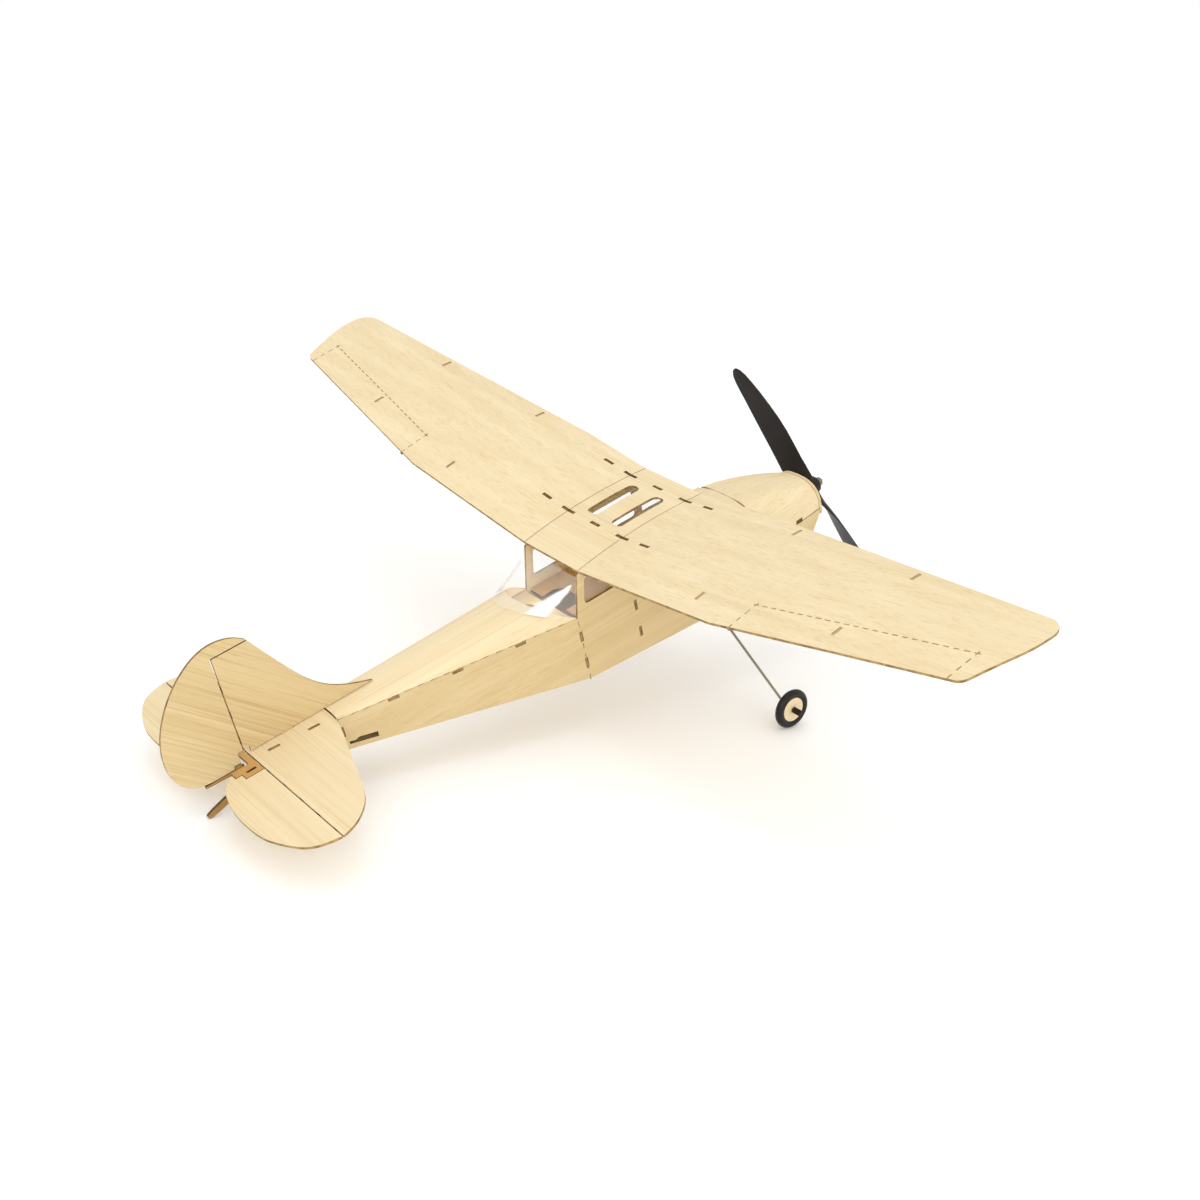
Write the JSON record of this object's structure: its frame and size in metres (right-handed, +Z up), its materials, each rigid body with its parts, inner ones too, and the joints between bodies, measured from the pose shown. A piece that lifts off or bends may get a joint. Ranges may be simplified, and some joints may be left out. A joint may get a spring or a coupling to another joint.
{
  "type": "model aeroplane",
  "caption": "Sheet-balsa high-wing cabin monoplane model with propeller, wire undercarriage, and hinged rudder and elevator.",
  "frame": {"origin": "on the floor under the middle of the model's box, as it stands on its two wheels and tail skid", "axes": "+X to the model's left (port) along the span, -Y towards the propeller, +Z up"},
  "size_m": [0.4004, 0.3072, 0.1172],
  "materials": {
    "balsa": "bare sanded balsa sheet",
    "plywood": "bare laser-cut plywood",
    "acetate": "clear glossy sheet",
    "black_plastic": "moulded satin black",
    "rubber": "matt rubber ring",
    "steel_wire": "drawn spring wire",
    "motor_can": "turned metal"
  },
  "bodies": {
    "airframe": {"wing_centre_section": "balsa", "wing_panel_left": "balsa", "wing_panel_right": "balsa", "front_wing_brace": "plywood", "rear_wing_brace": "plywood", "inner_rib_left": "balsa", "inner_rib_right": "balsa", "outer_rib_left": "balsa", "outer_rib_right": "balsa", "fuselage_side_left": "balsa", "fuselage_side_right": "balsa", "nose_plate": "balsa", "motor_former": "plywood", "dash_former": "balsa", "front_cabin_former": "balsa", "mid_cabin_former": "balsa", "rear_cabin_former": "balsa", "tail_former": "balsa", "sternpost": "balsa", "nose_bottom": "balsa", "gear_plate": "plywood", "cabin_belly": "balsa", "tail_bottom": "balsa", "cowl_deck": "balsa", "dash_deck": "balsa", "turtle_deck": "balsa", "windscreen": "acetate", "rear_window": "acetate", "side_window_left": "acetate", "side_window_right": "acetate", "equipment_tray": "plywood", "tail_crutch": "balsa", "stabilizer": "balsa", "fin": "balsa", "tail_skid": "plywood", "gear_wire": "steel_wire", "gear_strap": "plywood", "wheel_collar_left": "black_plastic", "wheel_collar_right": "black_plastic", "motor": "motor_can"},
    "propeller_group": {"propeller": "black_plastic", "prop_shaft": "steel_wire", "prop_collar": "motor_can", "prop_nut": "motor_can"},
    "wheel_left": {"wheel_disc_left": "balsa", "tyre_left": "rubber"},
    "wheel_right": {"wheel_disc_right": "balsa", "tyre_right": "rubber"},
    "rudder_group": {"rudder": "balsa", "rudder_insert": "plywood"},
    "elevator_group": {"elevator_joiner": "plywood", "elevator_left": "balsa", "elevator_right": "balsa"}
  },
  "joints": [
    {"name": "propeller_spin", "type": "hinge", "parent": "airframe", "child": "propeller_group", "pos_m": [0, -0.13989, 0.07484], "axis": [0, -0.9532, 0.3022], "continuous": true},
    {"name": "wheel_left_spin", "type": "hinge", "parent": "airframe", "child": "wheel_left", "pos_m": [0.054, -0.08656, 0.0081], "axis": [1, 0, 0], "continuous": true},
    {"name": "wheel_right_spin", "type": "hinge", "parent": "airframe", "child": "wheel_right", "pos_m": [-0.054, -0.08656, 0.0081], "axis": [1, 0, 0], "continuous": true},
    {"name": "rudder_swing", "type": "hinge", "parent": "airframe", "child": "rudder_group", "pos_m": [0, 0.12588, 0.03097], "axis": [0, 0.3022, 0.9532], "range_deg": [-25, 25], "stiffness_Nm_per_rad": 0.02},
    {"name": "elevator_swing", "type": "hinge", "parent": "airframe", "child": "elevator_group", "pos_m": [0, 0.12161, 0.02078], "axis": [1, 0, 0], "range_deg": [-25, 25], "stiffness_Nm_per_rad": 0.02}
  ]
}
